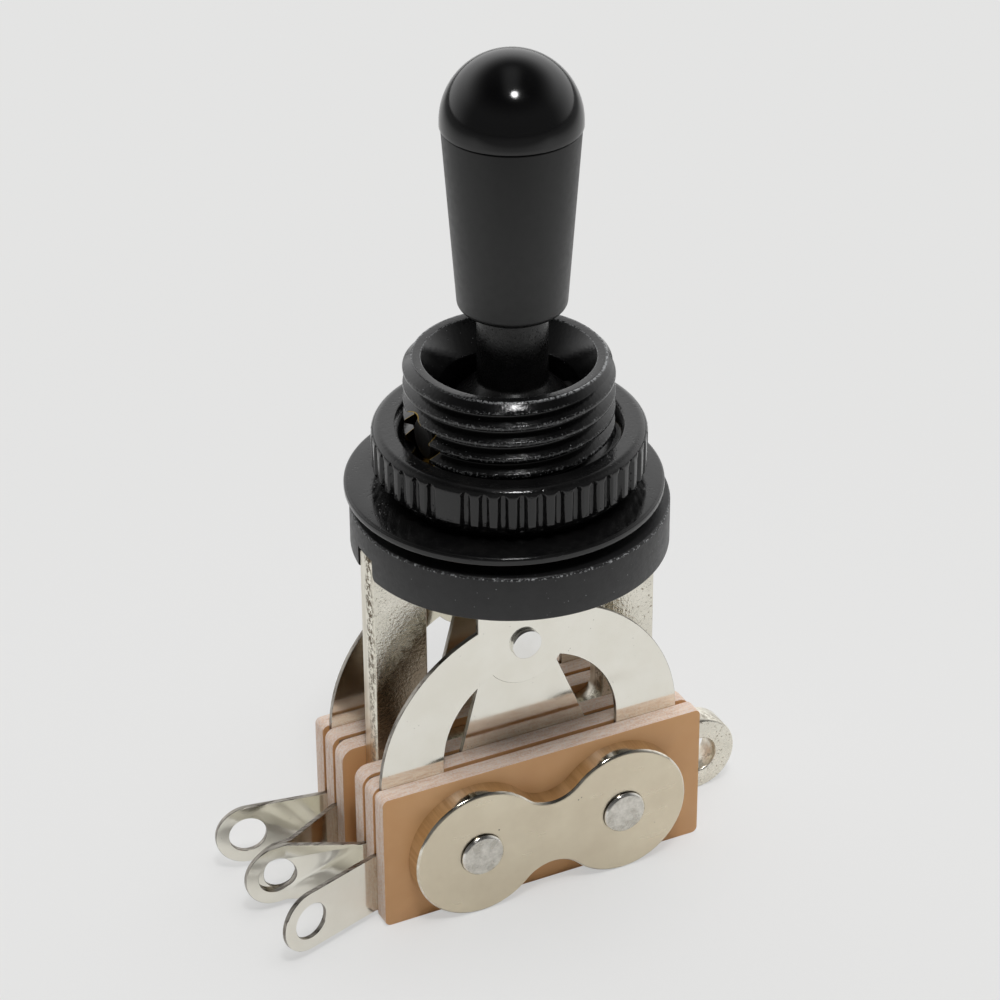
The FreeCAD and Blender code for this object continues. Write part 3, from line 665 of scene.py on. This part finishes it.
def threadMesh(v, top):
    # one turn of the thread's profile, then copies of it joined end to end and closed on the inside
    pitch = v["pitch"]
    first = v["crestHeight"] - (v["facing"] / 360 + v["below"]) * pitch
    shares = (-0.5, -0.5 + v["rootShare"] / 2, -v["crestShare"] / 2, v["crestShare"] / 2,
              0.5 - v["rootShare"] / 2, 0.5)
    radii = (v["root"], v["root"], v["crest"], v["crest"], v["root"], v["root"])
    corners = [(radius, first + share * pitch, v["flank"], 2) for radius, share in zip(radii, shares)]
    profile = roundedOutline(corners, closed=False)
    bm = bmesh.new()
    verts = [bm.verts.new(Vector((point.x, 0, point.y)) * mm) for point in profile]
    edges = [bm.edges.new(pair) for pair in zip(verts, verts[1:])]
    bmesh.ops.spin(bm, geom=verts + edges, cent=(0, 0, 0), axis=(0, 0, 1), angle=2 * math.pi,
                   dvec=(0, 0, pitch / v["steps"] * mm), steps=v["steps"],
                   use_merge=False, use_normal_flip=False, use_duplicate=False)
    turn = everything(bm)
    for count in range(1, v["turns"]):
        made = bmesh.ops.duplicate(bm, geom=turn)["geom"]
        bmesh.ops.translate(bm, verts=onlyVerts(made), vec=(0, 0, count * pitch * mm))
    bmesh.ops.remove_doubles(bm, verts=bm.verts, dist=mergeDistance)
    lid = top - v["lid"]
    cutAway(bm, lid, 1)
    cutAway(bm, v["foot"], -1)
    for vert in bm.verts:
        # the thread runs out in a chamfer of 45 degrees below the rim
        radius = math.hypot(vert.co.x, vert.co.y) / mm
        limit = v["rim"] + top - vert.co.z / mm
        if radius > limit:
            vert.co.x *= limit / radius
            vert.co.y *= limit / radius
    innerRadius = v["core"] - v["inset"]
    inner = ringIn(bm, openLoop(bm, lid), innerRadius, lid)
    inner = ringIn(bm, inner, innerRadius, v["foot"])
    outer = [edge for edge in openLoop(bm, v["foot"]) if edge not in inner]
    bmesh.ops.bridge_loops(bm, edges=inner + outer)
    bmesh.ops.recalc_face_normals(bm, faces=bm.faces)
    return bm


def crossHole(v):
    # the pivot's hole with a wider spot at both ends
    end = v["holeEnd"]
    half = [(v["hole"], v["spotStart"]), (v["spot"], v["spotStart"]), (v["spot"], end), (0, end)]
    outline = [(x, -y) for x, y in reversed(half)] + half
    hole = turnedMesh(outline, v["holeSteps"], closed=False, axis="X", centre=(0, 0, v["pivot"] * mm))
    return finishMesh(hole, "cutter")


def makeBushing():
    v = bushingValues
    low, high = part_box("bushing")
    bottom, top, flange = low.z / mm, high.z / mm, high.x / mm
    corners = [(v["bore"], bottom, 0.1, 2), (flange, bottom, v["edge"], 4), (flange, 0, v["edge"], 5),
               (v["core"], 0, 0, 0), (v["core"], top, 0, 0), (v["mouth"], top, 0.1, 3),
               (v["bore"], top - v["funnel"], 0.15, 3)]
    body = turnedMesh(roundedOutline(corners), v["bodySteps"])
    piece = finishMesh(body, "threadedBushing", v["sharpAngle"])
    thread = finishMesh(threadMesh(v, top), "thread", v["sharpAngle"])
    for target in (piece, thread):
        cutHole(target, crossHole(v))
    for side in (-1, 1):
        cutHole(piece, legSlotCutter(v, side, bottom, flange))
    bm = bmesh.new()
    bm.from_mesh(piece.data)
    bm.from_mesh(thread.data)
    bmesh.ops.holes_fill(bm, edges=[edge for edge in bm.edges if edge.is_boundary])
    bpy.data.objects.remove(thread)
    bpy.data.objects.remove(piece)
    piece = finishMesh(bm, "threadedBushing", v["sharpAngle"])
    piece.data.materials.append(bushingFinish(v, top))
    return place(piece, "base", "black_metal", "bushing")


def legSlotCutter(v, side, bottom, flange):
    # one slot for a leg of the frame, with a rounded lip at the front
    half, lip = v["slotHalf"], v["slotLip"]
    deep = bottom - 1
    points = [(half, deep), (half, v["slotTop"]), (-half, v["slotTop"]), (-half, bottom + lip)]
    for step in range(1, v["lipSteps"] + 1):
        angle = math.radians(90 * step / v["lipSteps"])
        points.append((-half - lip * (1 - math.cos(angle)), bottom + lip * (1 - math.sin(angle))))
    points.append((-half - lip, deep))
    bm = bmesh.new()
    verts = [bm.verts.new((side * v["slotInner"] * mm, y * mm, z * mm)) for y, z in points]
    face = bm.faces.new(verts)
    made = bmesh.ops.extrude_face_region(bm, geom=[face])["geom"]
    bmesh.ops.translate(bm, verts=onlyVerts(made), vec=(side * flange * mm, 0, 0))
    bmesh.ops.recalc_face_normals(bm, faces=bm.faces)
    return finishMesh(bm, "cutter")


def cutHole(piece, cutter):
    # takes the cutter's shape out of the piece for good
    cut = piece.modifiers.new("cut", "BOOLEAN")
    cut.operation = "DIFFERENCE"
    cut.solver = "EXACT"
    cut.object = cutter
    graph = bpy.context.evaluated_depsgraph_get()
    mesh = bpy.data.meshes.new_from_object(piece.evaluated_get(graph))
    piece.modifiers.clear()
    piece.data = mesh
    bpy.data.objects.remove(cutter)
    mesh.set_sharp_from_angle(angle=math.radians(bushingValues["sharpAngle"]))


makeBushing()
print("made:", "bushing")

print("stage: sheet metal")

frameValues = {"edge": 0.14, "segments": 3, "depth": 1.7}


def makeFrame():
    v = frameValues
    piece = finishMesh(solidCopy("frame", v["edge"], v["segments"]), "stampedFrame")
    paintFaces(piece, framePlate(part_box("frame")[0].x), frameSide(v["depth"] * mm), 1)
    return place(piece, "base", "frame_metal", "frame")


makeFrame()

leafValues = {"edge": 0.03, "clampLine": -15.1, "bendEnd": -11.8, "bendSteps": 8, "plane": 3.5}


def makeLeaves():
    # blades and horseshoes; a horseshoe is cut across in level steps between the clamp line and the end of
    # its bend
    v = leafValues
    bend = (v["bendEnd"] - v["clampLine"]) / v["bendSteps"]
    cuts = [(v["clampLine"] + bend * step) * mm for step in range(v["bendSteps"] + 1)]
    for word, side in (("front", -1), ("rear", 1)):
        inner = finishMesh(solidCopy(word + "_inner_leaf", v["edge"], 1), word + "InnerLeaf")
        paintFaces(inner, tinLeaf, tinEdge, 1)
        place(inner, "base", "leaf_metal", word + "_inner_leaf")
        outer = finishMesh(solidCopy(word + "_outer_leaf", v["edge"], 1, bendCuts=cuts), word + "OuterLeaf")
        paintFaces(outer, tinLeaf, tinEdge, 1)
        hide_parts(word + "_outer_leaf")
        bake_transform(outer)


makeLeaves()

clampValues = {"edge": 0.025, "steepest": 25, "sharpAngle": 20}


def makeClamps():
    v = clampValues
    nickel, wall = clampNickel(), clampWall()
    for word in ("front", "rear"):
        solid = solidCopy(word + "_clamp_plate", v["edge"], 1, steepest=v["steepest"])
        clamp = finishMesh(solid, word + "ClampPlate", v["sharpAngle"])
        paintFaces(clamp, nickel, wall, 1)
        place(clamp, "base", "clamp_metal", word + "_clamp_plate")


makeClamps()

rivetValues = {"shank": 1.1, "head": 1.36, "headHeight": 0.3, "rim": 0.24, "dish": 0.04, "steps": 64}


def makeRivets():
    v = rivetValues
    nickel = rivetNickel(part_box("left_rivet")[1].y / mm)
    for word in ("left", "right"):
        low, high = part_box(word + "_rivet")
        reach = high.y / mm
        seat = reach - v["headHeight"]
        centre = ((low.x + high.x) / 2, 0, (low.z + high.z) / 2)
        half = [(v["shank"], seat, 0, 0), (v["head"], seat, 0.04, 2), (v["head"], reach, v["rim"], 6),
                (v["head"] - 1.5 * v["rim"], reach - v["dish"], 0.05, 3), (0, reach - v["dish"] / 2, 0, 0)]
        lower = [(x, -y, rounding, steps) for x, y, rounding, steps in reversed(half)]
        outline = roundedOutline(lower + half, closed=False)
        solid = turnedMesh(outline, v["steps"], closed=False, axis="Y", centre=centre)
        piece = finishMesh(solid, word + "Rivet")
        piece.data.materials.append(nickel)
        place(piece, "base", "rivet_metal", word + "_rivet")


makeRivets()

contactValues = {"edge": 0.05, "segments": 3}


def makeContacts():
    v = contactValues
    metal = silver()
    for word in ("front", "rear"):
        for layer, body in (("outer", word + "_contact"), ("inner", "base")):
            node = word + "_" + layer + "_contact"
            solid = solidCopy(node, v["edge"], v["segments"])
            piece = finishMesh(solid, word + layer.capitalize() + "Contact")
            piece.data.materials.append(metal)
            place(piece, body, "contact_metal", node)


makeContacts()

print("stage: laminate plates")

plateValues = {"edge": 0.05, "segments": 2}


def makePlates():
    faceMaterial, edgeMaterial = laminateFace(), laminateEdge()
    for word in ("front", "rear"):
        for layer in ("inner", "middle", "outer"):
            node = word + "_" + layer + "_insulator"
            solid = solidCopy(node, plateValues["edge"], plateValues["segments"])
            piece = finishMesh(solid, word + layer.capitalize() + "Plate")
            paintFaces(piece, faceMaterial, edgeMaterial, 1)
            place(piece, "base", "laminate", node)


makePlates()

print("stage: carried-over pieces")


def finishNode(node, material):
    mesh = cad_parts[node].data
    mesh.materials.clear()
    mesh.materials.append(material)


finishNode("pivot_pin", plainFinish("pinSteel", (0.012, 0.012, 0.012), (0.03, 0.029, 0.027), 0.5, 0.5))
sleeveMaterial = plainFinish("sleevePlastic", (0.5, 0.45, 0.35), (0.6, 0.55, 0.45), 0.5)
finishNode("left_sleeve", sleeveMaterial)
finishNode("right_sleeve", sleeveMaterial)

print("stage: floor, light and camera")

# brightness of the paper: as the lamps light it, as the metal mirrors it away from the object with painted
# shade, and as the camera sees it
floorValues = {"size": 3.0, "colour": (0.88, 0.88, 0.875), "paintedFloorShade": (0.25, 0.25, 0.25),
               "shown": (0.775, 0.775, 0.77), "lift": 0.6, "liftStart": 0.045, "liftEnd": 0.09,
               "floorShadeStart": 0.06, "fadeEnd": 0.16, "sideEnd": 0.1, "sideFade": 0.25}

skyValues = {"horizon": 1.16, "zenith": 0.08, "low": 0.42, "high": 0.88, "wall": 0.12, "wallAzimuth": -116,
             "wallStart": -0.7, "wallEnd": 0.35, "streak": 0.3, "streakWidth": 0.34, "streakLow": 0.8}


def alongAndAside(tree, way):
    # how far a place or a direction lies towards the shaded wall, and how far to its side
    turn = math.radians(skyValues["wallAzimuth"])
    axes = ((math.cos(turn), math.sin(turn), 0), (-math.sin(turn), math.cos(turn), 0))
    return [addNode(tree, "VectorMath", {0: way, 1: axis}, operation="DOT_PRODUCT").outputs["Value"]
            for axis in axes]


def makeFloor():
    v = floorValues
    bm = bmesh.new()
    bmesh.ops.create_grid(bm, x_segments=1, y_segments=1, size=v["size"])
    bmesh.ops.translate(bm, verts=bm.verts, vec=(0, 0, floorHeight))
    floor = finishMesh(bm, "floor")
    made = Finish("floorPaper", Roughness=0.7, Specular_IOR_Level=0.1)
    seen = made.node("LightPath").outputs["Is Camera Ray"]
    # painted shade: for all but camera rays the paper turns dark towards the camera and off to the sides,
    # standing in for the shade of the camera side that the metal mirrors
    forward, aside = alongAndAside(made.tree, made.coordinates)
    beside = made.ramp(made.math("ABSOLUTE", aside), v["sideEnd"], v["sideFade"])
    away = made.math("MAXIMUM", made.ramp(forward, v["floorShadeStart"], v["fadeEnd"]), beside)
    paintedFloorShade = made.math("MULTIPLY", away, made.math("SUBTRACT", 1.0, seen))
    made.set("Base Color", made.mix(paintedFloorShade, v["colour"], v["paintedFloorShade"]))
    outward = made.node("VectorMath", {0: made.coordinates}, operation="LENGTH").outputs["Value"]
    share = made.math("MULTIPLY", seen, made.ramp(outward, v["liftStart"], v["liftEnd"], v["lift"], 1.0))
    glow = made.node("Emission", {"Color": (*v["shown"], 1), "Strength": 1.0}).outputs[0]
    paper = made.node("MixShader", {0: share, 1: made.shader.outputs[0], 2: glow})
    made.tree.links.new(paper.outputs[0], made.tree.nodes["Material Output"].inputs[0])
    floor.data.materials.append(made.material)


def makeWorld():
    # a white horizon under a darker room, darkest above and on the side of the shaded wall
    v = skyValues
    world = bpy.data.worlds.new("softTent")
    bpy.context.scene.world = world
    world.use_nodes = True
    tree = world.node_tree
    background = tree.nodes["Background"]
    background.inputs["Color"].default_value = (1, 1, 1, 1)
    way = addNode(tree, "TexCoord").outputs["Generated"]

    def fade(source, low, high, start, end, kind="SMOOTHSTEP"):
        inputs = {"Value": source, "From Min": low, "From Max": high, "To Min": start, "To Max": end}
        return addNode(tree, "MapRange", inputs, interpolation_type=kind).outputs[0]

    def calculate(operation, *values):
        return addNode(tree, "Math", dict(enumerate(values)), operation=operation).outputs[0]

    height = addNode(tree, "SeparateXYZ", {0: way}).outputs["Z"]
    forward, aside = alongAndAside(tree, way)
    tent = fade(height, v["low"], v["high"], v["horizon"], v["zenith"])
    shade = fade(forward, v["wallStart"], v["wallEnd"], 1.0, v["wall"])
    streak = fade(calculate("ABSOLUTE", aside), 0.0, v["streakWidth"], v["streak"], 0.0, "SMOOTHERSTEP")
    overhead = fade(height, v["streakLow"], 1.0, 0.0, 1.0)
    total = calculate("MULTIPLY_ADD", streak, overhead, calculate("MULTIPLY", tent, shade))
    tree.links.new(total, background.inputs["Strength"])


# powers in watts, sizes and distances in metres, angles in degrees
keyValues = {"power": 0.9, "size": 0.1, "distance": 0.6, "elevation": 66, "azimuth": -106}
fillValues = {"power": 6.0, "size": 1.0, "distance": 1.1, "elevation": 80, "azimuth": -60}


def makeLamp(name, v):
    lamp = bpy.data.lights.new(name, "AREA")
    lamp.shape = "DISK"
    lamp.size = v["size"]
    lamp.energy = v["power"]
    holder = bpy.data.objects.new(name, lamp)
    bpy.context.scene.collection.objects.link(holder)
    up, turn = math.radians(v["elevation"]), math.radians(v["azimuth"])
    way = Vector((math.cos(up) * math.cos(turn), math.cos(up) * math.sin(turn), math.sin(up)))
    holder.location = way * v["distance"]
    holder.rotation_euler = way.to_track_quat("Z", "Y").to_euler()
    return holder


makeFloor()
makeWorld()
makeLamp("keyLamp", keyValues)
fill = makeLamp("fillLamp", fillValues)
fill.visible_glossy = False

# place, lens and sensor in mm, angles in degrees, the two clip distances in metres
cameraValues = {"place": (-76.039, -152.821, 102.169), "azimuth": -26.27, "elevation": 31.01, "roll": -0.35,
                "lens": 126, "sensor": 36, "nearest": 0.01, "farthest": 20}


def makeCamera():
    v = cameraValues
    camera = bpy.data.cameras.new("photoCamera")
    camera.lens = v["lens"]
    camera.sensor_width = v["sensor"]
    camera.sensor_fit = "HORIZONTAL"
    camera.clip_start = v["nearest"]
    camera.clip_end = v["farthest"]
    holder = bpy.data.objects.new("photoCamera", camera)
    bpy.context.scene.collection.objects.link(holder)
    turn = Matrix.Rotation(math.radians(v["azimuth"]), 4, "Z")
    tilt = Matrix.Rotation(math.radians(90 - v["elevation"]), 4, "X")
    roll = Matrix.Rotation(math.radians(v["roll"]), 4, "Z")
    holder.matrix_world = Matrix.Translation(Vector(v["place"]) * mm) @ turn @ tilt @ roll
    bpy.context.scene.camera = holder


makeCamera()
bpy.context.scene.view_settings.view_transform = "Standard"
